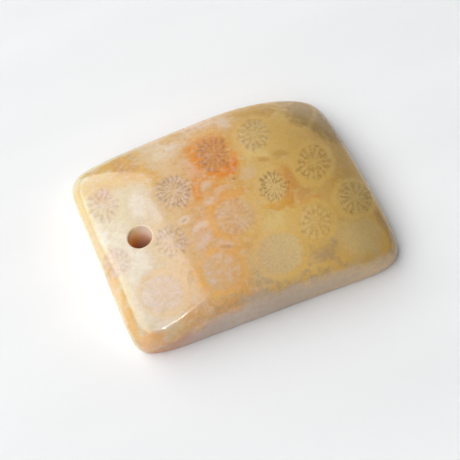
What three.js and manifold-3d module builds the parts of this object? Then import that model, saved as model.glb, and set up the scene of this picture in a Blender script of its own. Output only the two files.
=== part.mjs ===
// A drilled pendant stone of fossil coral: a rounded rectangle with a flat back and a domed, polished face.
// Millimetres, +Z up. The stone lies on its back, its length along X, its drilled end at -X.
// The origin is the middle of the back.

import * as THREE from 'three';
import { mergeVertices } from 'three/addons/utils/BufferGeometryUtils.js';
import Module from 'manifold-3d';

// Outline, seen from above
const LENGTH = 36.0;         // along the middle line
const WIDTH = 27.8;
const CORNER_POWER = 9.0;    // power of the superellipse: higher is a squarer corner
const TAPER = 0.02;          // share by which the undrilled end is wider, and the drilled end narrower
const LEAN = 0.015;          // how far the ends lean out of square, as a slope

// Domed face: its crown, and how far it falls from there to the outline
const CROWN_HEIGHT = 8.7;
const CROWN_X = 4.5;
const CROWN_Y = 0.3;
const FALL_TO_DRILLED_END = { drop: 2.7, power: 1.7 };
const FALL_TO_FAR_END = { drop: 5.3, power: 1.9 };
const FALL_TO_SIDES = { drop: 3.2, power: 3.0 };
const CORNER_LIFT = 0.5;     // 0 adds the falls to the end and the side at a corner, 1 multiplies them

// Edges
const FACE_EDGE_RADIUS = 1.35;
const FRONT_DRILLED_EXTRA = 0.95;                     // wider rounding towards the front of the drilled end
const DRILLED_END_SPAN = { start: 0.88, full: 1.0 };  // shares of the half length, where that comes in
const FRONT_SPAN = { start: -0.15, full: 0.4 };       // shares of the half width, where that comes in
const BACK_EDGE_RADIUS = 0.6;
const WALL_LEAN = 0.08;      // how far the wall leans in towards the back, for each millimetre of its height
const WALL_SWELL = 0.02;     // how far the middle of the wall stands out, for each millimetre of its height

// Drilled hole
const HOLE_DIAMETER = 3.0;
const HOLE_X = -12.65;
const HOLE_Y = -0.9;
const RIM_EASE = 0.15;       // 45 degree easing of both rims
const CUTTER_OVERRUN = 2.0;  // how far the drill runs past both faces

// Mesh fineness
const OUTLINE_POINTS = 120;
const CORNER_CROWDING = 0.8; // 0 spreads the outline points evenly, near 1 crowds them into the corners
const FACE_RINGS = 12;
const EDGE_STEPS = 5;
const WALL_STEPS = 3;
const BACK_EDGE_STEPS = 3;
const HOLE_SIDES = 40;

const HALF_LENGTH = LENGTH / 2;
const HALF_WIDTH = WIDTH / 2;
const QUARTER_TURN = Math.PI / 2;

// Outline point at a share of the way round, counterclockwise from +X.
function outlinePoint(share) {
  const even = share * 2 * Math.PI;
  const angle = even + CORNER_CROWDING * Math.sin(4 * even) / 4;
  const c = Math.cos(angle);
  const s = Math.sin(angle);
  const reach = (Math.abs(c) ** CORNER_POWER + Math.abs(s) ** CORNER_POWER) ** (-1 / CORNER_POWER);
  const along = reach * c;
  const across = reach * s * (1 + TAPER * along);
  return new THREE.Vector2(along * HALF_LENGTH + LEAN * across * HALF_WIDTH, across * HALF_WIDTH);
}

// Every outline point, with the direction square to its edge that leads inwards.
const OUTLINE = Array.from({ length: OUTLINE_POINTS }, (_, k) => {
  const before = outlinePoint((k - 0.5) / OUTLINE_POINTS);
  const after = outlinePoint((k + 0.5) / OUTLINE_POINTS);
  const tangent = after.sub(before).normalize();
  return { point: outlinePoint(k / OUTLINE_POINTS), inward: new THREE.Vector2(-tangent.y, tangent.x) };
});

// The outline drawn in by a distance, given as a function of the point's number.
function drawnIn(distance) {
  return OUTLINE.map(({ point, inward }, k) => point.clone().addScaledVector(inward, distance(k)));
}

// Radius of the rounding between the face and the wall, at each outline point.
const FACE_EDGE_RADII = OUTLINE.map(({ point }) => {
  const { smoothstep } = THREE.MathUtils;
  const atDrilledEnd = smoothstep(-point.x / HALF_LENGTH, DRILLED_END_SPAN.start, DRILLED_END_SPAN.full);
  const atFront = smoothstep(-point.y / HALF_WIDTH, FRONT_SPAN.start, FRONT_SPAN.full);
  return FACE_EDGE_RADIUS + FRONT_DRILLED_EXTRA * atDrilledEnd * atFront;
});

// Drop of the face at a distance from the crown. Reach is the whole way from the crown to the outline.
function fall(distance, reach, side) {
  return side.drop * (Math.max(distance, 0) / reach) ** side.power;
}

// Height of the domed face above the back.
function faceHeight(x, y) {
  const toEnds = fall(CROWN_X - x, CROWN_X + HALF_LENGTH, FALL_TO_DRILLED_END)
    + fall(x - CROWN_X, HALF_LENGTH - CROWN_X, FALL_TO_FAR_END);
  const toSides = fall(CROWN_Y - y, CROWN_Y + HALF_WIDTH, FALL_TO_SIDES)
    + fall(y - CROWN_Y, HALF_WIDTH - CROWN_Y, FALL_TO_SIDES);
  return CROWN_HEIGHT - toEnds - toSides + CORNER_LIFT * toEnds * toSides / CROWN_HEIGHT;
}

// Rings across the domed face, from near the crown out to where the edge starts to round.
function faceRings() {
  const rim = drawnIn((k) => FACE_EDGE_RADII[k]);
  return Array.from({ length: FACE_RINGS - 1 }, (_, i) => {
    const share = Math.sin(QUARTER_TURN * (i + 1) / FACE_RINGS);
    return rim.map((p) => {
      const x = THREE.MathUtils.lerp(CROWN_X, p.x, share);
      const y = THREE.MathUtils.lerp(CROWN_Y, p.y, share);
      return [x, y, faceHeight(x, y)];
    });
  });
}

// Rings round the edge of the face: a quarter circle from level to upright.
function faceEdgeRings() {
  return Array.from({ length: EDGE_STEPS + 1 }, (_, i) => {
    const turn = QUARTER_TURN * i / EDGE_STEPS;
    const inset = 1 - Math.sin(turn);
    const drop = 1 - Math.cos(turn);
    const outline = drawnIn((k) => FACE_EDGE_RADII[k] * inset);
    return outline.map((p, k) => [p.x, p.y, faceHeight(p.x, p.y) - FACE_EDGE_RADII[k] * drop]);
  });
}

// Rings down the wall and in under the back, from the heights where the wall starts.
function wallRings(topHeights) {
  const walls = topHeights.map((height) => height - BACK_EDGE_RADIUS);
  const rings = [];
  for (let i = 1; i <= WALL_STEPS; i += 1) {
    const share = i / WALL_STEPS;
    const slope = WALL_LEAN * share - WALL_SWELL * Math.sin(Math.PI * share);
    const outline = drawnIn((k) => walls[k] * slope);
    rings.push(outline.map((p, k) => [p.x, p.y, topHeights[k] - walls[k] * share]));
  }
  for (let i = 1; i <= BACK_EDGE_STEPS; i += 1) {
    const turn = QUARTER_TURN * i / BACK_EDGE_STEPS;
    const inset = BACK_EDGE_RADIUS * (1 - Math.cos(turn));
    const outline = drawnIn((k) => walls[k] * WALL_LEAN + inset);
    rings.push(outline.map((p) => [p.x, p.y, BACK_EDGE_RADIUS * (1 - Math.sin(turn))]));
  }
  return rings;
}

// The undrilled stone: the rings skinned together, and closed at the crown and at the middle of the back.
function blankGeometry() {
  const rings = [...faceRings(), ...faceEdgeRings()];
  const topHeights = rings[rings.length - 1].map((point) => point[2]);
  rings.push(...wallRings(topHeights));
  const count = OUTLINE_POINTS;
  const positions = [CROWN_X, CROWN_Y, faceHeight(CROWN_X, CROWN_Y)];
  rings.flat().forEach((point) => positions.push(...point));
  positions.push(0, 0, 0);
  const backMiddle = rings.length * count + 1;
  const index = [];
  for (let k = 0; k < count; k += 1) {
    const next = (k + 1) % count;
    index.push(0, 1 + k, 1 + next);
    for (let ring = 0; ring < rings.length - 1; ring += 1) {
      const inner = 1 + ring * count;
      const outer = inner + count;
      index.push(inner + k, outer + k, outer + next);
      index.push(inner + k, outer + next, inner + next);
    }
    const last = 1 + (rings.length - 1) * count;
    index.push(backMiddle, last + next, last + k);
  }
  const geometry = new THREE.BufferGeometry();
  geometry.setAttribute('position', new THREE.Float32BufferAttribute(positions, 3));
  geometry.setIndex(index);
  return geometry;
}

// Straight drill, upright through the stone.
function drillGeometry() {
  const length = CROWN_HEIGHT + 2 * CUTTER_OVERRUN;
  const drill = new THREE.CylinderGeometry(HOLE_DIAMETER / 2, HOLE_DIAMETER / 2, length, HOLE_SIDES);
  drill.rotateX(QUARTER_TURN);
  drill.translate(HOLE_X, HOLE_Y, CROWN_HEIGHT / 2);
  return drill;
}

// 45 degree cone whose mouth, where it meets the face, is wider than the hole by the easing.
function easingCone() {
  const mouth = HOLE_DIAMETER / 2 + RIM_EASE;
  const cone = new THREE.CylinderGeometry(mouth + CUTTER_OVERRUN, 0, mouth + CUTTER_OVERRUN, HOLE_SIDES);
  cone.rotateX(QUARTER_TURN);
  cone.translate(0, 0, (CUTTER_OVERRUN - mouth) / 2);
  return cone;
}

// The cone square to the sloping face, for the upper rim.
function upperEasing() {
  const step = 0.01;
  const slopeX = (faceHeight(HOLE_X + step, HOLE_Y) - faceHeight(HOLE_X - step, HOLE_Y)) / (2 * step);
  const slopeY = (faceHeight(HOLE_X, HOLE_Y + step) - faceHeight(HOLE_X, HOLE_Y - step)) / (2 * step);
  const normal = new THREE.Vector3(-slopeX, -slopeY, 1).normalize();
  const turn = new THREE.Quaternion().setFromUnitVectors(new THREE.Vector3(0, 0, 1), normal);
  const cone = easingCone();
  cone.applyQuaternion(turn);
  cone.translate(HOLE_X, HOLE_Y, faceHeight(HOLE_X, HOLE_Y));
  return cone;
}

// The cone turned over, for the rim in the flat back.
function lowerEasing() {
  const cone = easingCone();
  cone.rotateX(Math.PI);
  cone.translate(HOLE_X, HOLE_Y, 0);
  return cone;
}

const wasm = await Module();
wasm.setup();

function toSolid(geometry) {
  const bare = geometry.clone();
  bare.deleteAttribute('normal');
  bare.deleteAttribute('uv');
  const merged = mergeVertices(bare);
  return new wasm.Manifold(new wasm.Mesh({
    numProp: 3,
    vertProperties: new Float32Array(merged.attributes.position.array),
    triVerts: new Uint32Array(merged.index.array),
  }));
}

function toGeometry(solid) {
  const mesh = solid.getMesh();
  const geometry = new THREE.BufferGeometry();
  geometry.setAttribute('position', new THREE.BufferAttribute(mesh.vertProperties, 3));
  geometry.setIndex(new THREE.BufferAttribute(mesh.triVerts, 1));
  geometry.computeVertexNormals();
  return geometry;
}

const drilledStone = toSolid(blankGeometry())
  .subtract(toSolid(drillGeometry()))
  .subtract(toSolid(upperEasing()))
  .subtract(toSolid(lowerEasing()));

const polishedFossilCoral = new THREE.MeshStandardMaterial({
  color: 0xd9b886,
  roughness: 0.12,
  metalness: 0,
});

const coralStone = new THREE.Mesh(toGeometry(drilledStone), polishedFossilCoral);
coralStone.name = 'coral_stone';

const pendant = new THREE.Group();
pendant.add(coralStone);

export default pendant;
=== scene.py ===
"""A drilled pendant stone of polished fossil coral, lying on its flat back on a pale table beside a window.

Metres, +Z up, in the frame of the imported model. The origin is the middle of the stone's back, its length is
along X and its drilled end is at -X. The file is laid out as an add-on: one operator makes the stone, one sets
the stage.
"""

import functools
import math

import bpy
import numpy as np
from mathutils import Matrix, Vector


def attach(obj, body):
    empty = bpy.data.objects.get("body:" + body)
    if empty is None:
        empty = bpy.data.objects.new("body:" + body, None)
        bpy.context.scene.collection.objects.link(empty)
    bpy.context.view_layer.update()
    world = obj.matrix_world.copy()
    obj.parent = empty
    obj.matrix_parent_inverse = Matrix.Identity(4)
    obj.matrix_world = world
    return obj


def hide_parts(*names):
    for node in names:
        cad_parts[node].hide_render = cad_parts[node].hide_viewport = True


bl_info = {
    "name": "Fossil Coral Pendant Stone",
    "version": (1, 0, 0),
    "blender": (4, 5, 0),
    "location": "3D View > Sidebar > Coral Stone",
    "description": "Makes a polished, drilled pendant stone of fossil coral and the pale table it lies on",
    "category": "Object",
}

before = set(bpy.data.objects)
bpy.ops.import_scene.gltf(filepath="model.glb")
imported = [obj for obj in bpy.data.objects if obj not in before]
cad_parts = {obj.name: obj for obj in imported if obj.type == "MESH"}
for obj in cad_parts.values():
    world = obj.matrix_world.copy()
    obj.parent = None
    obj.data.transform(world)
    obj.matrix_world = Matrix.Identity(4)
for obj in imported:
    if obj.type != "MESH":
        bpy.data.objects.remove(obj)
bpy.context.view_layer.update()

MM = 0.001


def linear(hex_colour):
    """The linear colour of an sRGB hex value such as "d9b886", with alpha 1."""
    parts = [int(hex_colour[i : i + 2], 16) / 255 for i in (0, 2, 4)]
    return tuple(c / 12.92 if c <= 0.04045 else ((c + 0.055) / 1.055) ** 2.4 for c in parts) + (1.0,)


def length_property(name, description, millimetres):
    """A length that the user may change, with its default in millimetres."""
    return bpy.props.FloatProperty(
        name=name, description=description, default=millimetres * MM, unit="LENGTH", precision=5
    )


def number_property(name, description, default):
    """A plain number that the user may change."""
    return bpy.props.FloatProperty(name=name, description=description, default=default)


def colour_property(name, description, hex_colour):
    """A colour that the user may change, with its default as an sRGB hex value."""
    return bpy.props.FloatVectorProperty(
        name=name, description=description, subtype="COLOR", size=4, min=0, max=1, default=linear(hex_colour)
    )


# Sizes -----------------------------------------------------------------------------------------------------


class StoneSizes(bpy.types.PropertyGroup):
    """The stone's shape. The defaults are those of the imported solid, but the last two are the scene's own."""

    length: length_property("Length", "Along the middle line", 36.0)
    width: length_property("Width", "Across the middle", 27.8)
    corner_power: number_property("Corner power", "Power of the superellipse: higher is squarer", 9.0)
    taper: number_property("Taper", "Share by which the far end is wider than the middle", 0.02)
    lean: number_property("Lean", "How far the ends lean out of square, as a slope", 0.015)
    crown_height: length_property("Crown height", "Height of the face at its highest", 8.7)
    crown_x: length_property("Crown X", "Where the face is highest, along the length", 4.5)
    crown_y: length_property("Crown Y", "Where the face is highest, across", 0.3)
    drop_to_drilled_end: length_property("Drop to drilled end", "Fall of the face from the crown", 2.7)
    power_to_drilled_end: number_property("Power to drilled end", "Power of that fall", 1.7)
    drop_to_far_end: length_property("Drop to far end", "Fall of the face from the crown", 5.3)
    power_to_far_end: number_property("Power to far end", "Power of that fall", 1.9)
    drop_to_sides: length_property("Drop to sides", "Fall of the face from the crown", 3.2)
    power_to_sides: number_property("Power to sides", "Power of that fall", 3.0)
    corner_lift: number_property("Corner lift", "How far the two falls stop adding at a corner", 0.5)
    face_edge_radius: length_property("Face edge radius", "Rounding between the face and the wall", 1.35)
    front_drilled_extra: length_property("Front drilled extra", "Wider rounding at the front of that end", 0.95)
    back_edge_radius: length_property("Back edge radius", "Rounding between the wall and the back", 0.6)
    wall_lean: number_property("Wall lean", "How far the wall leans in for each unit of its height", 0.08)
    wall_swell: number_property("Wall swell", "How far the middle of the wall stands out", 0.02)
    hole_diameter: length_property("Hole diameter", "The drill's diameter", 3.0)
    hole_x: length_property("Hole X", "Middle of the hole, along the length", -12.65)
    hole_y: length_property("Hole Y", "Middle of the hole, across", -0.9)
    rim_ease: length_property("Rim ease", "Rounding of the hole's two rims", 0.15)
    polish_wave: length_property("Polish wave", "How far the hand polish waves the face", 0.008)


class StageSizes(bpy.types.PropertyGroup):
    """The table, the light and the camera."""

    camera_distance: length_property("Camera distance", "From the camera to the point it looks at", 150.0)
    camera_x: length_property("Camera target X", "The point that the camera looks at", -0.556)
    camera_y: length_property("Camera target Y", "The point that the camera looks at", -0.312)
    camera_azimuth: number_property("Camera azimuth", "Degrees round from looking along +Y", -23.594)
    camera_elevation: number_property("Camera elevation", "Degrees above the table", 57.666)
    lens: number_property("Lens", "Focal length in millimetres on a 36 mm sensor", 91.64)
    table_colour: colour_property("Table colour", "Matt white table", "f3f3f4")
    panel_height: length_property("Panel height", "Height of the bright panel overhead", 1000.0)
    panel_strength: number_property("Panel strength", "Brightness of the bright panel overhead", 2.34)
    left_strength: number_property("Left strength", "Brightness of the panel towards its left side", 2.7)
    edge_strength: number_property("Edge strength", "How much brighter the panel is along its front", 33.0)
    room_left: number_property("Room left", "Brightness of the room on the panel's side", 0.08)
    room_right: number_property("Room right", "Brightness of the room on the other side", 0.02)
    left_glow: number_property("Left glow", "How much brighter the left of the room is at table height", 0.2)
    back_glow: number_property("Back glow", "How much brighter the back of the room is at table height", 0.6)
    room_colour: colour_property("Room colour", "Tint of the light from the room", "e2f2f2")


# Stone -----------------------------------------------------------------------------------------------------

# Points round the stone, and rows of points on each of its parts
COLUMNS = 560
BORE_ROWS, EASE_ROWS, FACE_ROWS, EDGE_ROWS, WALL_ROWS, BACK_EDGE_ROWS, BACK_ROWS = 12, 4, 78, 14, 10, 6, 20

# How strongly the outline's points crowd to its corners, 0 to 1
CROWDING = 0.8

# Waves of the hand polish, in radians for each metre: 8 mm long along the stone and 7 mm across it
WAVE_ALONG, WAVE_ACROSS = 790.0, 910.0

# The wider rounding comes in over these shares of the half length and of the half width
WIDER_AT_END, WIDER_AT_FRONT = (0.88, 1.0), (-0.15, 0.4)


def outline(sizes, count):
    """Points of the outline seen from above, and the directions square to it that lead inwards.

    A superellipse: the point at an angle lies at (|cos|^p + |sin|^p)^(-1/p) times (cos, sin). The angle runs
    on faster between the corners, so that the corners get more points. The width grows with X by the taper,
    and X grows with Y by the lean. The inward direction is the tangent turned a quarter turn to the left.
    """

    def point(share):
        even = share * 2 * np.pi
        angle = even + CROWDING * np.sin(4 * even) / 4
        c, s, power = np.cos(angle), np.sin(angle), sizes.corner_power
        reach = (np.abs(c) ** power + np.abs(s) ** power) ** (-1 / power)
        along, across = reach * c, reach * s * (1 + sizes.taper * reach * c)
        y = across * sizes.width / 2
        return np.stack([along * sizes.length / 2 + sizes.lean * y, y], -1)

    share = np.arange(count) / count
    tangent = point(share + 0.2 / count) - point(share - 0.2 / count)
    tangent /= np.linalg.norm(tangent, axis=-1, keepdims=True)
    return point(share), np.stack([-tangent[:, 1], tangent[:, 0]], -1)


def face_height(sizes, place):
    """Height of the domed face above the back.

    The crown's height, less the fall to the ends, less the fall to the sides, plus a share of their product.
    A fall is its drop times a power of the share of the way from the crown to the outline. The hand polish
    then takes off up to the polish wave: half of it times one less a sine along X times a cosine along Y.
    """

    def fall(distance, reach, drop, power):
        return drop * (np.maximum(distance, 0) / reach) ** power

    x, y = place[..., 0] - sizes.crown_x, place[..., 1] - sizes.crown_y
    half_length, half_width = sizes.length / 2, sizes.width / 2
    to_ends = fall(-x, half_length + sizes.crown_x, sizes.drop_to_drilled_end, sizes.power_to_drilled_end)
    to_ends += fall(x, half_length - sizes.crown_x, sizes.drop_to_far_end, sizes.power_to_far_end)
    to_sides = fall(-y, half_width + sizes.crown_y, sizes.drop_to_sides, sizes.power_to_sides)
    to_sides += fall(y, half_width - sizes.crown_y, sizes.drop_to_sides, sizes.power_to_sides)
    both = sizes.corner_lift * to_ends * to_sides / sizes.crown_height
    wave = np.sin(place[..., 0] * WAVE_ALONG + 1.1) * np.cos(place[..., 1] * WAVE_ACROSS + 0.4)
    return sizes.crown_height - to_ends - to_sides + both + sizes.polish_wave * (wave - 1) / 2


def edge_radius(sizes, edge):
    """Radius of the rounding between the face and the wall.

    One radius all round, plus an extra that comes in smoothly towards the front of the drilled end: the
    product of a smooth step in X and one in Y, each over shares of the half length and the half width.
    """

    def smooth_step(value, low, high):
        share = np.clip((value - low) / (high - low), 0, 1)
        return share * share * (3 - 2 * share)

    at_drilled_end = smooth_step(-edge[:, 0] / (sizes.length / 2), *WIDER_AT_END)
    at_front = smooth_step(-edge[:, 1] / (sizes.width / 2), *WIDER_AT_FRONT)
    return sizes.face_edge_radius + sizes.front_drilled_extra * at_drilled_end * at_front


def stone_grid(sizes):
    """The stone's whole surface as one grid of points that closes both ways, with a value at each point.

    A column goes once round a section of the stone, through the middle of the hole: up the bore, round its
    rim, straight out over the face, round a quarter circle at the edge, down the wall, round a smaller quarter
    circle, and straight back under the stone to the bore. The columns lie side by side all the way round the
    outline. The value is 1 in the bore and 0 outside it, and goes from one to the other over the rims.
    """
    edge, inward = outline(sizes, COLUMNS)
    rounding = edge_radius(sizes, edge)
    rim = edge + inward * rounding[:, None]
    centre = np.array([sizes.hole_x, sizes.hole_y])
    ray = rim - centre
    ray /= np.linalg.norm(ray, axis=-1, keepdims=True)
    ease, radius = sizes.rim_ease, sizes.hole_diameter / 2
    mouth = centre + ray * (radius + ease)
    mouth_height = face_height(sizes, mouth)
    rows = []

    def add_rows(place, height, in_bore=0.0):
        shape = place.shape[:2]
        columns = [place[..., 0], place[..., 1], height, in_bore]
        rows.append(np.stack([np.broadcast_to(c, shape) for c in columns], -1))

    def steps(count):
        return np.linspace(0, 1, count + 1)[:-1, None]

    # Bore, from above the lower rim to below the upper one
    share = steps(BORE_ROWS)
    wall = np.broadcast_to(centre + ray * radius, (BORE_ROWS, COLUMNS, 2))
    add_rows(wall, ease + share * (mouth_height - 2 * ease), 1.0)

    # Upper rim, a quarter circle from upright to the face
    turn = steps(EASE_ROWS) * np.pi / 2
    place = centre + ray * (radius + ease * (1 - np.cos(turn)))[..., None]
    add_rows(place, mouth_height - ease * (1 - np.sin(turn)), 1 - steps(EASE_ROWS))

    # Face, straight from the mouth of the hole to where the edge starts to round
    share = steps(FACE_ROWS)[..., None]
    place = mouth + (rim - mouth) * share
    add_rows(place, face_height(sizes, place))

    # Edge of the face, a quarter circle from level to upright
    turn = steps(EDGE_ROWS) * np.pi / 2
    place = edge + inward * (rounding * (1 - np.sin(turn)))[..., None]
    drop = rounding * (1 - np.cos(turn))
    add_rows(place, face_height(sizes, place) - drop)

    # Wall, leaning in towards the back and swelling in its middle
    top = face_height(sizes, edge) - rounding
    wall = top - sizes.back_edge_radius
    share = steps(WALL_ROWS)
    inset = wall * (sizes.wall_lean * share - sizes.wall_swell * np.sin(np.pi * share))
    add_rows(edge + inward * inset[..., None], top - wall * share)

    # Edge of the back, a quarter circle from upright to level
    turn = steps(BACK_EDGE_ROWS) * np.pi / 2
    inset = wall * sizes.wall_lean + sizes.back_edge_radius * (1 - np.cos(turn))
    add_rows(edge + inward * inset[..., None], sizes.back_edge_radius * (1 - np.sin(turn)))

    # Flat back, straight in to the lower mouth of the hole
    outer = edge + inward * (wall * sizes.wall_lean + sizes.back_edge_radius)[..., None]
    share = steps(BACK_ROWS)[..., None]
    add_rows(outer + (mouth - outer) * share, 0.0)

    # Lower rim, a quarter circle from level to upright
    turn = steps(EASE_ROWS) * np.pi / 2
    place = centre + ray * (radius + ease * (1 - np.sin(turn)))[..., None]
    add_rows(place, ease * (1 - np.cos(turn)), steps(EASE_ROWS))
    return np.concatenate(rows)


def grid_object(name, grid):
    """A mesh object from a grid that closes both ways.

    Its rows run outwards over the top and its columns anticlockwise, so the faces look outwards. The fourth
    value of each point becomes the attribute in_bore.
    """
    row_count, column_count = grid.shape[:2]
    number = np.arange(row_count * column_count).reshape(row_count, column_count)
    across, down = np.roll(number, -1, 1), np.roll(number, -1, 0)
    both = np.roll(down, -1, 1)
    faces = np.stack([number, down, both, across], -1).reshape(-1, 4)
    mesh = bpy.data.meshes.new(name)
    mesh.from_pydata(grid[..., :3].reshape(-1, 3), [], faces)
    in_bore = mesh.attributes.new("in_bore", "FLOAT", "POINT")
    in_bore.data.foreach_set("value", grid[..., 3].ravel().astype(np.float32))
    mesh.polygons.foreach_set("use_smooth", np.ones(len(faces), bool))
    mesh.update()
    made = bpy.data.objects.new(name, mesh)
    bpy.context.scene.collection.objects.link(made)
    return made


# Material --------------------------------------------------------------------------------------------------


# Settings that many nodes share
SMOOTH = {"interpolation_type": "SMOOTHSTEP"}
MULTIPLY, MULTIPLY_ADD, SUBTRACT = ({"operation": name} for name in ("MULTIPLY", "MULTIPLY_ADD", "SUBTRACT"))


def first_output(made):
    """The first output that a node shows."""
    return next(output for output in made.outputs if output.enabled)


def add(tree, kind, inputs=(), **settings):
    """Adds a node with its settings and its inputs, and returns it.

    Inputs go by place, in order, or by name. Each is a value, a socket, or a node whose first output is meant.
    """
    made = tree.nodes.new(kind)
    for name, value in settings.items():
        setattr(made, name, value)
    shown = [socket for socket in made.inputs if socket.enabled]
    named = inputs.items() if isinstance(inputs, dict) else zip(range(len(inputs)), inputs)
    for key, value in named:
        socket = made.inputs[key] if isinstance(key, str) else shown[key]
        if isinstance(value, bpy.types.Node):
            value = first_output(value)
        if isinstance(value, bpy.types.NodeSocket):
            tree.links.new(value, socket)
        elif value is not None:
            socket.default_value = value
    return made


# Colours as (place, sRGB hex) pairs. The place is X less a quarter of Y, in mm, which runs square to the band
# of iron stain. The ground is cream at the drilled end, orange over the band, and honey at the far end.
GROUND = ((-17, "dbcea4"), (-12, "d0bb98"), (-8, "dcba8c"), (-5, "d6ac7d"), (-2, "d9a15e"), (1, "d3a763"),
          (4, "d3af6a"), (8, "dcb468"), (11, "dbb063"), (13, "d9aa58"), (15.5, "caa052"), (17.5, "d9ac5d"))
RINGS = ((-13, "d5ad71"), (-10.7, "e8be8a"), (-8, "dfb98a"), (-4, "e5ae65"), (-2, "dfa861"), (0.5, "daaf6e"),
         (3, "dcb77a"), (5.5, "dbb46b"), (8, "dab167"), (10, "e4bb68"), (13, "e5c071"), (16, "e0ba6e"))
FILLS = ((-17, "c9a58b"), (-11, "debc9b"), (-7, "d4baa2"), (-3, "dcb483"), (-0.5, "d7ab81"), (4.4, "d1b888"),
         (8, "e0c189"), (10, "e7c377"), (13, "f0ce88"), (17, "d3b471"))
PETALS = ((-16, "af7f60"), (-9, "a68468"), (-6, "9f7e67"), (-1, "a96e4f"), (4, "9f7a44"), (11, "b88a43"),
          (15, "b48c48"))
WALL = ((-14, "ce895e"), (-10, "d1895d"), (-7.5, "c4a295"), (-2, "c8b5a6"), (3.5, "bca48f"), (8, "c5a989"),
        (13, "ceaf86"), (18, "dbb98c"))

# The top of the pinkish grey layer: (X, height) in mm. The material lowers it towards the back side.
GREY_LAYER = ((-18, -1.0), (-15, 2.2), (-12, 3.8), (-8, 4.4), (-3, 5.2), (3, 5.2), (9, 4.8), (13, 3.8),
              (16, 2.7), (18, 2.2))

# The reach of a place that has met no corallite yet, and how far apart the corallites' noises are taken
NO_REACH, SEED_STEP = 9.0, 7.3

# Each corallite, the cup of one coral animal: middle X and Y, half length and half width in mm, turn of its
# length in degrees, number of petals, strength of its petals, of its ring and of its fill.
CORALLITES = (
    (-0.10, 6.03, 3.07, 2.36, 75, 16, 0.56, 0.10, 0.10),
    (-6.58, 3.07, 2.75, 2.31, 84, 19, 0.56, 0.15, 0.30),
    (-15.07, 5.58, 2.79, 2.07, 85, 13, 0.34, 0.00, 0.25),
    (-10.25, 10.69, 2.45, 1.75, 100, 12, 0.32, 0.30, 0.10),
    (-9.55, -3.23, 2.31, 2.01, 87, 14, 0.42, 0.10, 0.25),
    (-16.36, -2.71, 2.19, 1.87, 96, 12, 0.26, 0.00, 0.30),
    (-12.88, -8.80, 2.61, 2.31, 147, 14, 0.12, 0.65, 0.35),
    (-5.47, -9.19, 2.49, 2.32, 159, 13, 0.07, 0.72, 0.60),
    (-1.32, -3.57, 2.75, 2.64, 87, 16, 0.18, 0.65, 0.72),
    (4.65, -1.58, 2.35, 2.01, 62, 16, 0.72, 0.40, 0.40),
    (5.87, 6.82, 3.12, 2.15, 64, 14, 0.38, 0.85, 0.45),
    (11.20, 0.48, 3.38, 2.10, 49, 15, 0.58, 0.95, 0.30),
    (13.66, 9.64, 3.60, 1.78, 53, 12, 0.45, 0.45, 0.05),
    (14.25, -5.42, 3.22, 2.10, 34, 14, 0.56, 1.00, 0.60),
    (7.58, -7.80, 2.67, 2.12, 42, 13, 0.40, 1.00, 0.50),
    (1.88, -9.91, 2.89, 2.53, 171, 22, 0.12, 0.85, 0.80),
    (12.55, -11.21, 3.28, 2.26, 18, 12, 0.05, 0.40, 0.30),
)

IRON, HONEY, STRAW = "de9444", "d0a04c", "dcc486"
MILK, LILAC, PINK, BROWN, UMBER = "e6ddd0", "d8c4b6", "dcb294", "ac8858", "8a6a52"

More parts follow.
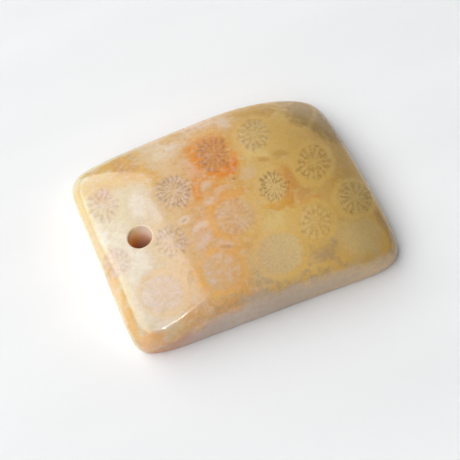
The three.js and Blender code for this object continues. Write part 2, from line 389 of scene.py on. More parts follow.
# Stains, and a few marks of painted highlight and painted shade noted below: middle X and Y, half length and
# half width in mm, turn in degrees, colour, strength.
STAINS_AND_PAINTED_LIGHT = (
    (-1.0, 11.3, 6.5, 2.2, 0, MILK, 0.45),
    (-15.0, -2.4, 5.3, 2.1, 95, MILK, 0.50),
    (-16.6, 1.6, 1.8, 1.0, 90, MILK, 0.70),
    (12.0, -10.4, 3.6, 2.5, 15, "dac696", 0.50),
    (-12.4, 8.0, 3.6, 1.6, -15, "d6b074", 0.75),
    (-7.8, 9.2, 2.6, 1.6, 0, "d6b47a", 0.45),
    (-5.8, 9.1, 1.8, 1.2, 0, MILK, 0.35),
    (-6.9, 4.9, 1.3, 0.8, 10, "a8846c", 0.35),
    (-9.8, 1.6, 1.6, 0.8, 90, MILK, 0.30),
    (0.0, 10.4, 2.8, 1.1, 0, "dcac66", 0.75),
    (-0.7, 5.8, 4.1, 2.6, 82, "db9448", 0.90),
    (-0.4, 5.8, 3.1, 2.2, 76, "c88c58", 0.80),
    (-2.5, 5.6, 2.8, 0.8, 85, "de8e3a", 0.80),
    (-0.4, 2.9, 2.2, 0.8, -10, "de8a3a", 0.85),
    (2.2, 4.6, 2.0, 0.6, 94, "e0a860", 0.50),
    (1.4, 3.4, 1.5, 0.9, 60, "da7820", 0.92),
    (-4.0, 2.0, 2.2, 0.6, 78, "de8f3c", 0.90),
    (-3.4, -2.4, 1.8, 0.5, 78, IRON, 0.75),
    (-0.8, -0.8, 2.4, 0.8, -3, IRON, 0.75),
    (6.0, -3.4, 1.8, 0.8, 55, "cc8030", 0.65),
    (7.0, -0.2, 1.6, 1.2, 105, "cf8c40", 0.58),
    (6.8, -1.8, 1.8, 1.1, 75, "ca8638", 0.70),
    (4.4, -4.4, 1.8, 0.7, -5, "d29a40", 0.85),
    (8.2, -4.8, 1.8, 0.5, 8, IRON, 0.55),
    (-8.1, -9.2, 2.4, 0.7, 95, "e2a852", 0.90),
    (-6.5, -11.8, 1.8, 0.6, -15, "e0b672", 0.80),
    (-12.9, -8.8, 2.5, 2.1, 147, "dcc4ba", 0.25),
    (-15.3, -9.0, 2.7, 1.2, 95, MILK, 0.62),
    # Whitish patch at the front-left corner: partly pale stone, partly a painted highlight where the glint on
    # the front edge lies
    (-14.0, -12.2, 2.0, 0.7, 5, MILK, 0.40),
    (-10.0, -12.0, 2.2, 0.9, 10, "d4a06a", 0.60),
    (-14.3, 9.3, 3.7, 1.9, 5, "d8b474", 0.85),
    (-14.7, 6.8, 1.9, 1.3, 80, "d0aa82", 0.68),
    (-12.8, 11.5, 2.9, 0.9, -5, HONEY, 0.75),
    (-10.4, 11.4, 2.3, 1.3, 0, "d6a650", 0.85),
    (-10.6, 9.3, 2.4, 1.2, -55, "d09c5c", 0.70),
    (-8.9, 7.9, 3.1, 1.2, -64, "d8aa62", 0.85),
    (-8.4, 6.2, 1.5, 0.7, 60, HONEY, 0.40),
    (-3.3, 11.7, 2.0, 1.2, 0, HONEY, 0.60),
    (-11.1, 3.4, 2.5, 1.3, 82, MILK, 0.50),
    (-13.5, -4.0, 1.8, 1.0, 100, MILK, 0.30),
    (-3.5, 5.2, 1.6, 0.7, 90, PINK, 0.70),
    (-5.4, -3.8, 2.2, 1.3, 30, PINK, 0.55),
    (7.4, -2.6, 1.4, 0.8, 60, "c88840", 0.50),
    (7.7, -3.8, 1.5, 0.8, 30, "ca9058", 0.50),
    (-2.7, 2.0, 0.9, 0.6, 30, LILAC, 0.48),
    (-4.9, -0.2, 1.4, 0.8, 0, "dca058", 0.50),
    (-3.1, -0.4, 1.1, 0.6, -5, LILAC, 0.70),
    (-1.0, 0.7, 1.3, 0.4, 0, LILAC, 0.35),
    (-7.1, -1.3, 0.9, 0.6, 0, MILK, 0.38),
    (-7.1, -1.3, 0.4, 0.2, 10, UMBER, 0.30),
    (-6.3, -3.1, 0.6, 0.45, 20, MILK, 0.35),
    (-5.0, -3.0, 0.7, 0.45, -10, MILK, 0.35),
    (-5.9, -5.0, 1.6, 0.6, 30, LILAC, 0.50),
    (-4.0, -6.5, 1.3, 0.9, 0, LILAC, 0.45),
    (-3.9, -6.8, 0.8, 0.22, -20, UMBER, 0.50),
    (-9.4, -8.7, 1.3, 0.4, 60, UMBER, 0.22),
    (-1.3, -10.6, 2.8, 1.6, 88, "c6b28c", 0.70),
    (-16.3, -13.1, 2.4, 1.2, 0, "e2aa70", 0.88),
    (-11.8, -13.6, 3.0, 0.7, 6, "d8a058", 0.60),
    (2.7, 1.4, 1.3, 0.9, 40, LILAC, 0.25),
    (3.3, 10.8, 2.0, 0.9, 90, LILAC, 0.35),
    (4.1, 5.6, 2.8, 0.6, 78, STRAW, 0.60),
    (5.2, 3.6, 1.4, 0.6, -30, STRAW, 0.75),
    (8.3, 11.7, 4.6, 1.4, 0, "c6983a", 0.80),
    (7.2, 10.0, 2.8, 1.1, 10, "c0903a", 0.65),
    (15.1, 8.6, 5.4, 3.1, -62, "8a6a22", 0.68),
    (2.6, -6.2, 1.8, 1.3, 20, STRAW, 0.55),
    (5.2, 2.5, 0.8, 0.45, -10, "b6823c", 0.45),
    (7.6, 2.7, 1.2, 0.8, 0, "be8a48", 0.45),
    (6.4, -11.4, 3.0, 1.2, 0, "b49468", 0.45),
    (-4.6, -12.6, 2.6, 0.7, 5, BROWN, 0.10),
    (16.4, -9.3, 3.2, 0.8, 95, BROWN, 0.45),
    (-17.6, 7.8, 2.6, 0.5, 92, STRAW, 0.80),
    (-17.6, 2.0, 4.4, 0.6, 90, "dcc08c", 0.60),
    (-17.6, -4.6, 2.4, 0.6, 90, "e0a868", 0.55),
    (-17.4, -9.4, 3.0, 0.55, 88, "d8a04c", 0.70),
    (0.7, 1.45, 0.25, 0.22, 0, "a4603c", 0.85),
    # Dark dot on a small pit below the front-left corner, which the surface lacks: painted shade of the pit
    (-15.7, -13.5, 0.22, 0.16, 0, UMBER, 0.90),
)


def by_place(tree, place, colours):
    """A colour that changes along a line of places, in mm, given as (place, hex colour) pairs in order."""
    first, last = colours[0][0], colours[-1][0]
    share = add(tree, "ShaderNodeMapRange", [place, first, last, 0, 1])
    ramp = add(tree, "ShaderNodeValToRGB", [share])
    steps = ramp.color_ramp.elements
    while len(steps) < len(colours):
        steps.new(0.5)
    for step, (where, _) in zip(steps, colours):
        step.position = (where - first) / (last - first)
    for step, (_, hex_colour) in zip(steps, colours):
        step.color = linear(hex_colour)
    return ramp


def bent_line(tree, value, points):
    """The height of a bent line through the points, at a value along it. Neither is held to 0 to 1."""
    (x_low, x_high), (y_low, y_high) = ((min(c), max(c)) for c in zip(*points))
    share = add(tree, "ShaderNodeMapRange", [value, x_low, x_high, 0, 1])
    line = add(tree, "ShaderNodeFloatCurve", [1.0, share])
    curve = line.mapping.curves[0]
    spots = [((x - x_low) / (x_high - x_low), (y - y_low) / (y_high - y_low)) for x, y in points]
    curve.points[0].location, curve.points[1].location = spots[0], spots[-1]
    for spot in spots[1:-1]:
        curve.points.new(*spot)
    for point in curve.points:
        point.handle_type = "VECTOR"
    line.mapping.update()
    return add(tree, "ShaderNodeMapRange", [line, 0, 1, y_low, y_high])


def new_group(name, inputs, outputs):
    """A node group with its sockets, given as name: kind of value, and the nodes that stand for them."""
    tree = bpy.data.node_groups.new(name, "ShaderNodeTree")
    for way, sockets in (("INPUT", inputs), ("OUTPUT", outputs)):
        for socket_name, kind in sockets.items():
            tree.interface.new_socket(socket_name, in_out=way, socket_type="NodeSocket" + kind)
    return tree, add(tree, "NodeGroupInput").outputs, add(tree, "NodeGroupOutput").inputs


ELLIPSE_INPUTS = {"Place": "Vector", "Middle": "Vector", "Lengthwise": "Vector", "Crosswise": "Vector"}


def ellipse_group():
    """A node group: a place seen from a turned ellipse, in which the ellipse is the circle of radius 1."""
    tree, given, result = new_group("place_in_ellipse", ELLIPSE_INPUTS, {"Seen": "Vector", "Reach": "Float"})
    offset = add(tree, "ShaderNodeVectorMath", [given["Place"], given["Middle"]], **SUBTRACT)
    length_share = add(tree, "ShaderNodeVectorMath", [offset, given["Lengthwise"]], operation="DOT_PRODUCT")
    width_share = add(tree, "ShaderNodeVectorMath", [offset, given["Crosswise"]], operation="DOT_PRODUCT")
    seen = add(tree, "ShaderNodeCombineXYZ", [length_share.outputs["Value"], width_share.outputs["Value"]])
    reach = add(tree, "ShaderNodeVectorMath", [seen], operation="LENGTH")
    tree.links.new(seen.outputs[0], result["Seen"])
    tree.links.new(reach.outputs["Value"], result["Reach"])
    return tree


def ellipse_values(middle_x, middle_y, half_length, half_width, turn):
    """The inputs of the ellipse group for an ellipse given in mm and degrees."""
    cosine, sine = math.cos(math.radians(turn)), math.sin(math.radians(turn))
    return {
        "Middle": (middle_x, middle_y, 0), "Lengthwise": (cosine / half_length, sine / half_length, 0),
        "Crosswise": (-sine / half_width, cosine / half_width, 0),
    }


def stain_and_painted_light_group(ellipse):
    """A node group that lays one soft, ragged stain over a colour, and also the few marks of painted highlight
    and painted shade.
    """
    inputs = {**ELLIPSE_INPUTS, "Ragged": "Float", "Strength": "Float", "Under": "Color", "Stain": "Color"}
    tree, given, result = new_group("stain", inputs, {"Colour": "Color"})
    seen = add(tree, "ShaderNodeGroup", node_tree=ellipse)
    for name in ELLIPSE_INPUTS:
        tree.links.new(given[name], seen.inputs[name])
    edge = add(tree, "ShaderNodeMath", [seen.outputs["Reach"], given["Ragged"]], operation="ADD")
    share = add(tree, "ShaderNodeMapRange", [edge, 0.45, 1.3, given["Strength"], 0], **SMOOTH)
    laid = add(tree, "ShaderNodeMix", [share, given["Under"], given["Stain"]], data_type="RGBA")
    tree.links.new(first_output(laid), result["Colour"])
    return tree


def nearer_corallite_group(ellipse):
    """A node group that keeps, of the corallites met so far and one more, the one a place lies deepest in."""
    kept = {"Seen": "Vector", "Petals": "Vector", "Strengths": "Vector", "Reach": "Float"}
    so_far = {name + " so far": kind for name, kind in kept.items()}
    own = {"Petals": "Vector", "Strengths": "Vector"}
    tree, given, result = new_group("nearer_corallite", {**ELLIPSE_INPUTS, **own, **so_far}, kept)
    one = add(tree, "ShaderNodeGroup", node_tree=ellipse)
    for name in ELLIPSE_INPUTS:
        tree.links.new(given[name], one.inputs[name])
    new = {"Seen": one.outputs["Seen"], "Petals": given["Petals"], "Strengths": given["Strengths"]}
    nearer = add(tree, "ShaderNodeMath", [one.outputs["Reach"], given["Reach so far"]], operation="LESS_THAN")
    reach = add(tree, "ShaderNodeMath", [one.outputs["Reach"], given["Reach so far"]], operation="MINIMUM")
    tree.links.new(reach.outputs[0], result["Reach"])
    for name, value in new.items():
        chosen = add(tree, "ShaderNodeMix", [nearer, given[name + " so far"], value], data_type="VECTOR")
        tree.links.new(first_output(chosen), result[name])
    return tree


def polished_fossil_coral():
    """Agatized fossil coral, tumbled and hand polished: chalcedony with a wet gloss and a little depth.

    Cream to honey ground stained orange by iron, with the cups of the coral in it: each has a pale fill, a ring
    of darker petals that point to its middle, and a scalloped yellow rim. Below the face the stone is pinkish
    grey and streaky. One node tree on Object coordinates, in mm, so that the pattern runs through the stone.
    """
    material = bpy.data.materials.new("polished_fossil_coral")
    material.use_nodes = True
    tree = material.node_tree
    shader = tree.nodes["Principled BSDF"]
    node = functools.partial(add, tree)

    place = node("ShaderNodeVectorMath", [node("ShaderNodeTexCoord").outputs["Object"]], operation="SCALE")
    place.inputs["Scale"].default_value = 1 / MM

    # Wobble: the coral grew unevenly, by up to 0.2 mm over 3 mm and by up to 0.15 mm over 0.6 mm
    wobbled = place
    for scale, size in ((0.35, 0.45), (1.6, 0.3)):
        noise = node("ShaderNodeTexNoise", {"Vector": place, "Scale": scale, "Detail": 1.0})
        centred = node("ShaderNodeVectorMath", [noise.outputs["Color"], (0.5, 0.5, 0.5)], **SUBTRACT)
        offset = node("ShaderNodeVectorMath", [centred, (size, size, 0)], **MULTIPLY)
        wobbled = node("ShaderNodeVectorMath", [wobbled, offset], operation="ADD")
    x, y, z = node("ShaderNodeSeparateXYZ", [wobbled]).outputs
    along = node("ShaderNodeMath", [y, -0.25, x], **MULTIPLY_ADD)

    # Noise over 2.2 mm, 0.9 mm and 0.4 mm
    cloud = node("ShaderNodeTexNoise", {"Vector": place, "Scale": 0.45, "Detail": 3.0})
    mottle = node("ShaderNodeTexNoise", {"Vector": place, "Scale": 1.15, "Detail": 2.0})
    grain = node("ShaderNodeTexNoise", {"Vector": place, "Scale": 2.6, "Detail": 2.0})
    mottles = node("ShaderNodeSeparateColor", [mottle.outputs["Color"]])

    # Ground, its mottle of lilac white and orange, its stains, and a few marks of painted highlight and painted
    # shade
    colour = by_place(tree, along, GROUND)
    lilac = node("ShaderNodeMapRange", [mottles.outputs[0], 0.46, 0.72], **SMOOTH)
    lilac_here = node("ShaderNodeMapRange", [along, -1.0, 5.0, 0.38, 0.12], **SMOOTH)
    lilac = node("ShaderNodeMath", [lilac, lilac_here], **MULTIPLY)
    orange = node("ShaderNodeMapRange", [mottles.outputs[1], 0.46, 0.72], **SMOOTH)
    for range_and_shares in ((-12.0, -4.0, 0.15, 0.5), (-1.0, 6.0, 1.0, 0.3)):
        orange_here = node("ShaderNodeMapRange", [along, *range_and_shares], **SMOOTH)
        orange = node("ShaderNodeMath", [orange, orange_here], **MULTIPLY)
    ragged = node("ShaderNodeMath", [cloud.outputs["Fac"], 1.0, -0.5], **MULTIPLY_ADD)
    ragged = node("ShaderNodeMath", [mottle.outputs["Fac"], 0.8, ragged], **MULTIPLY_ADD)
    ragged = node("ShaderNodeMath", [ragged, 0.4], **SUBTRACT)
    ellipse = ellipse_group()
    stain = stain_and_painted_light_group(ellipse)
    for *oval, hex_colour, strength in STAINS_AND_PAINTED_LIGHT:
        values = {
            "Place": wobbled, **ellipse_values(*oval), "Ragged": ragged, "Strength": strength, "Under": colour,
            "Stain": linear(hex_colour),
        }
        colour = node("ShaderNodeGroup", values, node_tree=stain)
    colour = node("ShaderNodeMix", [orange, colour, linear("cf9650")], data_type="RGBA")
    colour = node("ShaderNodeMix", [lilac, colour, linear("d6bfae")], data_type="RGBA")

    # The corallite that a place lies deepest in
    nearer_corallite = nearer_corallite_group(ellipse)
    chosen = None
    for number, (*oval, count, petals, ring, fill) in enumerate(CORALLITES):
        values = {
            "Place": wobbled, **ellipse_values(*oval), "Petals": (count, number * SEED_STEP, 0),
            "Strengths": (petals, ring, fill), "Reach so far": NO_REACH,
        }
        if chosen:
            values.update({output.name + " so far": output for output in chosen.outputs})
        chosen = node("ShaderNodeGroup", values, node_tree=nearer_corallite)
    seen = node("ShaderNodeSeparateXYZ", [chosen.outputs["Seen"]])
    count_and_seed = node("ShaderNodeSeparateXYZ", [chosen.outputs["Petals"]])
    strengths = node("ShaderNodeSeparateXYZ", [chosen.outputs["Strengths"]])
    reach = node("ShaderNodeMath", [grain.outputs["Fac"], 0.12, chosen.outputs["Reach"]], **MULTIPLY_ADD)
    reach = node("ShaderNodeMath", [reach, 0.06], **SUBTRACT)

    # Petals: dark strokes round the middle, uneven in length and width, broken up by the grain. An outer set
    # has the corallite's number of them, and an inner one half as many.
    angle = node("ShaderNodeMath", [seen.outputs["Y"], seen.outputs["X"]], operation="ARCTAN2")
    turns = node("ShaderNodeMath", [angle, 0.5 / math.pi, 0.5], **MULTIPLY_ADD)
    bent = node("ShaderNodeMath", [mottle.outputs["Fac"], 0.06, turns], **MULTIPLY_ADD)
    bent = node("ShaderNodeMath", [grain.outputs["Fac"], 0.006, bent], **MULTIPLY_ADD)
    steps = node("ShaderNodeMath", [bent, count_and_seed.outputs["X"]], **MULTIPLY)
    stroke_place = node("ShaderNodeCombineXYZ", [
        node("ShaderNodeMath", [steps, 0.6], **MULTIPLY),
        node("ShaderNodeMath", [reach, 4.4], **MULTIPLY),
        count_and_seed.outputs["Y"],
    ])
    strokes = node("ShaderNodeTexNoise", {"Vector": stroke_place, "Scale": 1.0, "Detail": 1.0})
    length_place = node("ShaderNodeCombineXYZ", [steps, 0, count_and_seed.outputs["Y"]])
    lengths = node("ShaderNodeTexNoise", {"Vector": length_place, "Scale": 1.0, "Detail": 0.0})
    petal_reach = node("ShaderNodeMath", [lengths.outputs["Fac"], 0.5, reach], **MULTIPLY_ADD)
    petal_reach = node("ShaderNodeMath", [petal_reach, 0.25], **SUBTRACT)
    parts = []
    for cycle, inner_start, inner_full, outer_full, outer_end, strength in (
        (2 * math.pi, 0.32, 0.56, 0.82, 1.04, 1.0),
        (math.pi, 0.06, 0.22, 0.36, 0.56, 0.65),
    ):
        phase = node("ShaderNodeMath", [steps, cycle], **MULTIPLY)
        wave = node("ShaderNodeMath", [phase], operation="COSINE")
        field = node("ShaderNodeMath", [strokes.outputs["Fac"], 2.5, -0.75], **MULTIPLY_ADD)
        field = node("ShaderNodeMath", [wave, -0.46, field], **MULTIPLY_ADD)
        petal = node("ShaderNodeMapRange", [field, -0.1, 1.1], **SMOOTH)
        inner = node("ShaderNodeMapRange", [petal_reach, inner_start, inner_full], **SMOOTH)
        outer = node("ShaderNodeMapRange", [petal_reach, outer_full, outer_end, strength, 0], **SMOOTH)
        petal = node("ShaderNodeMath", [petal, inner], **MULTIPLY)
        parts.append(node("ShaderNodeMath", [petal, outer], **MULTIPLY))
    petal_share = node("ShaderNodeMath", parts, operation="ADD")
    petal_share = node("ShaderNodeMath", [petal_share, strengths.outputs["X"]], **MULTIPLY)
    broken = node("ShaderNodeMapRange", [grain.outputs["Fac"], 0.38, 0.56, 0.5, 1.2], **SMOOTH)
    petal_share = node("ShaderNodeMath", [petal_share, broken], **MULTIPLY)

    # Fill inside the rim, and the uneven rim itself
    rim_reach = node("ShaderNodeMath", [mottle.outputs["Fac"], 0.5, reach], **MULTIPLY_ADD)
    rim_reach = node("ShaderNodeMath", [rim_reach, 0.25], **SUBTRACT)
    inside = node("ShaderNodeMapRange", [rim_reach, 0.82, 1.0, 1, 0], **SMOOTH)
    fill_share = node("ShaderNodeMath", [inside, strengths.outputs["Z"]], **MULTIPLY)
    inner = node("ShaderNodeMapRange", [rim_reach, 0.84, 1.06], **SMOOTH)
    outer = node("ShaderNodeMapRange", [rim_reach, 1.08, 1.46, 1, 0], **SMOOTH)
    ring_share = node("ShaderNodeMath", [inner, outer], **MULTIPLY)
    ring_share = node("ShaderNodeMath", [ring_share, strengths.outputs["Y"]], **MULTIPLY)
    patchy = node("ShaderNodeMapRange", [cloud.outputs["Fac"], 0.35, 0.65, 0.5, 1.0])
    ring_share = node("ShaderNodeMath", [ring_share, patchy], **MULTIPLY)
    colour = node("ShaderNodeMix", [fill_share, colour, by_place(tree, along, FILLS)], data_type="RGBA")
    colour = node("ShaderNodeMix", [ring_share, colour, by_place(tree, along, RINGS)], data_type="RGBA")
    lilac = node("ShaderNodeMapRange", [mottles.outputs[0], 0.42, 0.64], **SMOOTH)
    by_fill = node("ShaderNodeMapRange", [strengths.outputs["Z"], 0.0, 0.5, 0, 0.5], **SMOOTH)
    by_end = node("ShaderNodeMapRange", [along, -3.0, 3.0, 1.0, 0.3], **SMOOTH)
    for share in (inside, by_fill, by_end):
        lilac = node("ShaderNodeMath", [lilac, share], **MULTIPLY)
    lilac_colour = by_place(tree, along, ((-14, "dcc8c6"), (-4, "d8c0b0"), (4, "ccb48e")))
    colour = node("ShaderNodeMix", [lilac, colour, lilac_colour], data_type="RGBA")
    colour = node("ShaderNodeMix", [petal_share, colour, by_place(tree, along, PETALS)], data_type="RGBA")

    # Brown lumps of matrix along the front side, about 1 mm across, between the corallites
    lumps = node("ShaderNodeMapRange", [mottles.outputs[2], 0.44, 0.60], **SMOOTH)
    sideways = node("ShaderNodeMath", [x, -0.12, y], **MULTIPLY_ADD)
    at_front = node("ShaderNodeMapRange", [sideways, -10.2, -12.0], **SMOOTH)
    past_drilled_end = node("ShaderNodeMapRange", [x, -9.5, -7.5, 0, 0.6], **SMOOTH)
    outside = node("ShaderNodeMapRange", [rim_reach, 1.1, 1.3], **SMOOTH)
    for share in (at_front, past_drilled_end, outside):
        lumps = node("ShaderNodeMath", [lumps, share], **MULTIPLY)
    colour = node("ShaderNodeMix", [lumps, colour, linear("b89a74")], data_type="RGBA")

    # Crystalline speckle, 0.3 mm and finer
    speckle = node("ShaderNodeTexNoise", {"Vector": place, "Scale": 3.6, "Detail": 3.0, "Roughness": 0.7})
    shade = node("ShaderNodeMapRange", [speckle.outputs["Fac"], 0.3, 0.7, 0.93, 1.07])
    grey = node("ShaderNodeCombineXYZ", [shade, shade, shade])

    # Grey layer: below a height that varies along the stone, and that lies up to 3 mm lower at its back side,
    # the coral is pinkish grey, in level streaks 6 mm long and 1.2 mm high
    streak_place = node("ShaderNodeVectorMath", [place, (0.16, 0.16, 0.8)], **MULTIPLY)
    streaks = node("ShaderNodeTexNoise", {"Vector": streak_place, "Scale": 1.0, "Detail": 3.0})
    layer = by_place(tree, along, WALL)
    tinted = node("ShaderNodeMapRange", [streaks.outputs["Fac"], 0.38, 0.62, 0, 0.45])
    layer = node("ShaderNodeMix", [tinted, layer, linear("b5a699")], data_type="RGBA")
    patches = node("ShaderNodeMapRange", [mottles.outputs[1], 0.45, 0.7, 0, 0.35], **SMOOTH)
    layer = node("ShaderNodeMix", [patches, layer, linear("b89a7c")], data_type="RGBA")
    above = node("ShaderNodeMath", [z, bent_line(tree, x, GREY_LAYER)], **SUBTRACT)
    lower = node("ShaderNodeMapRange", [y, 3.0, 9.0, 0, 3.0], **SMOOTH)
    above = node("ShaderNodeMath", [above, lower], operation="ADD")
    above = node("ShaderNodeMath", [cloud.outputs["Fac"], 3.2, above], **MULTIPLY_ADD)
    above = node("ShaderNodeMath", [mottle.outputs["Fac"], 1.2, above], **MULTIPLY_ADD)
    in_layer = node("ShaderNodeMapRange", [above, 1.4, 2.9, 0.9, 0], **SMOOTH)
    surface = node("ShaderNodeMix", [in_layer, colour, layer], data_type="RGBA")
    surface = node("ShaderNodeVectorMath", [surface, grey], **MULTIPLY)

    # Bore: raw stone with its light painted in: painted shade deep down, a painted glow near white at the mouth
    # as light through its sides, orange towards the drilled end and pink towards the middle
    in_bore = node("ShaderNodeAttribute", attribute_name="in_bore").outputs["Fac"]
    painted_light_orange_side = by_place(tree, z, ((0, "c86428"), (3, "f0a04c"), (4.5, "fcc478"), (6, "ffe8c0")))
    painted_light_pink_side = by_place(tree, z, ((0, "d8a08c"), (3, "ecbc9e"), (4.5, "f2ceb0"), (6, "fae6d4")))
    to_far_side = node("ShaderNodeMapRange", [x, -13.0, -12.0], **SMOOTH)
    bore = node("ShaderNodeMix", [to_far_side, painted_light_orange_side, painted_light_pink_side], data_type="RGBA")
    surface = node("ShaderNodeMix", [in_bore, surface, bore], data_type="RGBA")
    tree.links.new(first_output(surface), shader.inputs["Base Color"])

    # Hand polish: gloss with duller patches, duller still on the wall, and a skin level to a few microns
    polish = node("ShaderNodeMapRange", [cloud.outputs["Fac"], 0.4, 0.7, 0.03, 0.08])
    roughness = node("ShaderNodeMath", [in_layer, 0.12, polish], **MULTIPLY_ADD)
    tree.links.new(roughness.outputs[0], shader.inputs["Roughness"])
    relief = node("ShaderNodeMath", [speckle.outputs["Fac"], 0.4, mottle.outputs["Fac"]], **MULTIPLY_ADD)
    bump = node("ShaderNodeBump", {"Strength": 0.08, "Distance": 0.02 * MM, "Height": relief})
    tree.links.new(bump.outputs[0], shader.inputs["Normal"])

    # Chalcedony bends light by 1.54, and lets it about a millimetre in, red the farthest
    shader.inputs["IOR"].default_value = 1.54
    shader.inputs["Subsurface Weight"].default_value = 0.15
    shader.inputs["Subsurface Radius"].default_value = (1.0, 0.6, 0.3)
    shader.inputs["Subsurface Scale"].default_value = 1.2 * MM
    return material


class CORAL_OT_make_stone(bpy.types.Operator):
    """Make the drilled, polished stone"""

    bl_idname = "coral.make_stone"
    bl_label = "Make stone"

    def execute(self, context):
        stone = grid_object("polished_coral_stone", stone_grid(context.scene.coral_stone))
        stone.data.materials.append(polished_fossil_coral())
        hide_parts("coral_stone")
        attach(stone, "root")
        return {"FINISHED"}


# Stage -----------------------------------------------------------------------------------------------------


# The window overhead, in units of its height. Its outline: the side towards the stone's far end as (Y, X), the
# front side as (X, Y), and the straight sides.
WINDOW_RIGHT = (
    (-1.0, -0.055), (-0.3, -0.06), (-0.04, -0.08), (0.62, -0.107), (1.12, -0.06), (2.05, -0.09), (4.6, -0.25),
)
WINDOW_FRONT = ((-2.4, -2.2), (-0.25, -0.97), (-0.145, -0.50), (-0.06, -0.36), (0.0, -0.34))
WINDOW_LEFT, WINDOW_NEAR, WINDOW_FAR = -2.1, -4.2, 4.6

# Where along X it brightens towards the left, and where the bright strip along its front begins and fades
BRIGHTER, STRIP_BEGINS, STRIP_FADES = (-0.55, -0.85), (-0.30, -0.24), (-0.15, -0.10)

# The share of the strip that stays where it has faded, and its depth as (from X, to X, from depth, to depth)
STRIP_REST, STRIP_DEPTH = 0.08, (-0.25, -0.13, 0.16, 0.035)

# Half the side of the square table, in metres, so that its edges are out of sight
TABLE_HALF_SIDE = 4.0


def window_light(stage):
    """The window overhead: one level area light, with its outline and a bright strip at its front from nodes.

    Inside the outline its brightness is the main strength, a little more towards the left, and far more within
    a narrow strip along a short stretch of the front side, which draws the glint on the stone's front edge.
    """
    height = stage.panel_height
    light = bpy.data.lights.new("window", "AREA")
    light.shape = "RECTANGLE"
    light.size, light.size_y = -WINDOW_LEFT * height, (WINDOW_FAR - WINDOW_NEAR) * height
    light.energy = math.pi * light.size * light.size_y
    light.use_nodes = True
    tree = light.node_tree
    geometry = add(tree, "ShaderNodeNewGeometry")
    scaled = add(tree, "ShaderNodeVectorMath", [geometry.outputs["Position"]], operation="SCALE")
    scaled.inputs["Scale"].default_value = 1 / height
    place = add(tree, "ShaderNodeSeparateXYZ", [scaled])
    x, y = place.outputs["X"], place.outputs["Y"]
    right, front = bent_line(tree, y, WINDOW_RIGHT), bent_line(tree, x, WINDOW_FRONT)
    inside_right = add(tree, "ShaderNodeMath", [x, right], operation="LESS_THAN")
    behind_front = add(tree, "ShaderNodeMath", [y, front], **SUBTRACT)
    inside_front = add(tree, "ShaderNodeMath", [behind_front, 0.0], operation="GREATER_THAN")
    inside = add(tree, "ShaderNodeMath", [inside_right, inside_front], **MULTIPLY)
    left = add(tree, "ShaderNodeMapRange", [x, *BRIGHTER, stage.panel_strength, stage.left_strength])
    depth = add(tree, "ShaderNodeMapRange", [x, *STRIP_DEPTH])
    strip = add(tree, "ShaderNodeMapRange", [behind_front, 0, depth, stage.edge_strength, 0])
    beginning = add(tree, "ShaderNodeMapRange", [x, *STRIP_BEGINS, 0, 1])
    fading = add(tree, "ShaderNodeMapRange", [x, *STRIP_FADES, 1, STRIP_REST])
    stretch = add(tree, "ShaderNodeMath", [beginning, fading], **MULTIPLY)
    total = add(tree, "ShaderNodeMath", [strip, stretch, left], **MULTIPLY_ADD)
    strength = add(tree, "ShaderNodeMath", [total, inside], **MULTIPLY)
    tree.links.new(strength.outputs[0], tree.nodes["Emission"].inputs["Strength"])
    made = bpy.data.objects.new("window", light)
    made.location = (WINDOW_LEFT / 2 * height, (WINDOW_NEAR + WINDOW_FAR) / 2 * height, height)
    bpy.context.scene.collection.objects.link(made)


def pale_room(stage):
    """The world: dim, a little brighter on the window's side, and brightest low down at the left and back."""
    world = bpy.data.worlds.new("pale_room")
    world.use_nodes = True
    tree = world.node_tree
    direction = add(tree, "ShaderNodeSeparateXYZ", [add(tree, "ShaderNodeTexCoord").outputs["Generated"]])
    side = add(tree, "ShaderNodeMapRange", [direction.outputs["X"], -1, 1, stage.room_left, stage.room_right])
    low = add(tree, "ShaderNodeMapRange", [direction.outputs["Z"], 0, 0.4, 1, 0])
    left = add(tree, "ShaderNodeMapRange", [direction.outputs["X"], 0.1, -0.6, 0, stage.left_glow])
    back = add(tree, "ShaderNodeMapRange", [direction.outputs["Y"], 0.0, 0.5, 0, stage.back_glow])
    glow = add(tree, "ShaderNodeMath", [left, back], operation="MAXIMUM")
    strength = add(tree, "ShaderNodeMath", [low, glow, side], **MULTIPLY_ADD)
    background = tree.nodes["Background"]
    background.inputs["Color"].default_value = stage.room_colour
    tree.links.new(strength.outputs[0], background.inputs["Strength"])
    return world


def matt_white_table(table_colour):
    """Matt white card, with faint streaks of shade 70 mm long and 11 mm wide, and a tooth of 0.3 mm."""
    material = bpy.data.materials.new("matt_white_table")
    material.use_nodes = True
    tree = material.node_tree
    shader = tree.nodes["Principled BSDF"]
    coordinates = add(tree, "ShaderNodeTexCoord").outputs["Object"]
    place = add(tree, "ShaderNodeVectorMath", [coordinates], operation="SCALE")
    place.inputs["Scale"].default_value = 1 / MM
    streak_place = add(tree, "ShaderNodeVectorMath", [place, (0.015, 0.09, 1)], **MULTIPLY)
    streaks = add(tree, "ShaderNodeTexNoise", {"Vector": streak_place, "Scale": 1.0, "Detail": 1.0})
    shade = add(tree, "ShaderNodeMapRange", [streaks.outputs["Fac"], 0.3, 0.7, 0.98, 1.02])
    grey = add(tree, "ShaderNodeCombineXYZ", [shade, shade, shade])
    colour = add(tree, "ShaderNodeVectorMath", [table_colour[:3], grey], **MULTIPLY)
    tree.links.new(colour.outputs[0], shader.inputs["Base Color"])
    tooth = add(tree, "ShaderNodeTexNoise", {"Vector": place, "Scale": 3.0, "Detail": 2.0})
    roughness = add(tree, "ShaderNodeMapRange", [tooth.outputs["Fac"], 0.3, 0.7, 0.85, 0.95])
    tree.links.new(roughness.outputs[0], shader.inputs["Roughness"])
    bump = add(tree, "ShaderNodeBump", {"Strength": 0.1, "Distance": 0.02 * MM, "Height": tooth.outputs["Fac"]})
    tree.links.new(bump.outputs[0], shader.inputs["Normal"])
    shader.inputs["Specular IOR Level"].default_value = 0.0
    return material


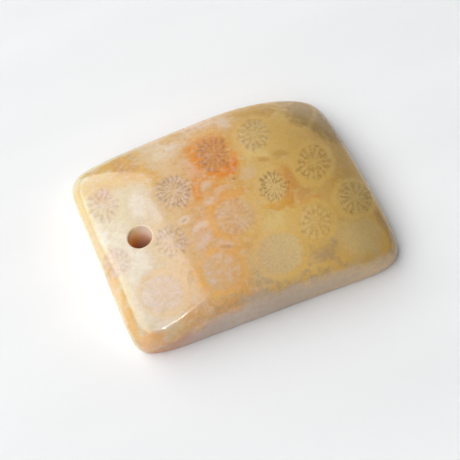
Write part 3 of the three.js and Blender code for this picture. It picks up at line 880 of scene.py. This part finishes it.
class CORAL_OT_set_stage(bpy.types.Operator):
    """Set the pale table, the light and the camera"""

    bl_idname = "coral.set_stage"
    bl_label = "Set stage"

    def execute(self, context):
        stage = context.scene.coral_stage
        mesh = bpy.data.meshes.new("table")
        signs = ((-1, -1), (1, -1), (1, 1), (-1, 1))
        corners = [(x * TABLE_HALF_SIDE, y * TABLE_HALF_SIDE, 0) for x, y in signs]
        mesh.from_pydata(corners, [], [(0, 1, 2, 3)])
        table = bpy.data.objects.new("table", mesh)
        context.scene.collection.objects.link(table)
        mesh.materials.append(matt_white_table(stage.table_colour))

        window_light(stage)
        context.scene.world = pale_room(stage)
        context.scene.view_settings.view_transform = "Standard"
        context.scene.view_settings.look = "None"

        camera = bpy.data.cameras.new("camera")
        camera.lens = stage.lens
        camera.sensor_width = 36
        camera.clip_start, camera.clip_end = 0.01, 10
        made = bpy.data.objects.new("camera", camera)
        azimuth, elevation = math.radians(stage.camera_azimuth), math.radians(stage.camera_elevation)
        level, height = math.cos(elevation), math.sin(elevation)
        back = Vector((math.sin(azimuth) * level, -math.cos(azimuth) * level, height))
        made.location = Vector((stage.camera_x, stage.camera_y, 0)) + back * stage.camera_distance
        made.rotation_euler = (-back).to_track_quat("-Z", "Y").to_euler()
        context.scene.collection.objects.link(made)
        context.scene.camera = made
        return {"FINISHED"}


class CORAL_PT_panel(bpy.types.Panel):
    """Lists what the add-on makes, with its sizes and colours"""

    bl_idname = "CORAL_PT_panel"
    bl_label = "Coral Stone"
    bl_space_type = "VIEW_3D"
    bl_region_type = "UI"
    bl_category = "Coral Stone"

    def draw(self, context):
        for operator, settings in (
            ("coral.make_stone", context.scene.coral_stone),
            ("coral.set_stage", context.scene.coral_stage),
        ):
            self.layout.operator(operator)
            for name in settings.__annotations__:
                self.layout.prop(settings, name)


CLASSES = (StoneSizes, StageSizes, CORAL_OT_make_stone, CORAL_OT_set_stage, CORAL_PT_panel)


def register():
    """Registers the classes and puts their settings on the scene."""
    for made in CLASSES:
        bpy.utils.register_class(made)
    bpy.types.Scene.coral_stone = bpy.props.PointerProperty(type=StoneSizes)
    bpy.types.Scene.coral_stage = bpy.props.PointerProperty(type=StageSizes)


def unregister():
    """Takes the settings and the classes away again."""
    del bpy.types.Scene.coral_stage
    del bpy.types.Scene.coral_stone
    for made in reversed(CLASSES):
        bpy.utils.unregister_class(made)


def main():
    """Makes the stone and its stage."""
    register()
    bpy.ops.coral.make_stone()
    bpy.ops.coral.set_stage()


if __name__ == "__main__":
    main()
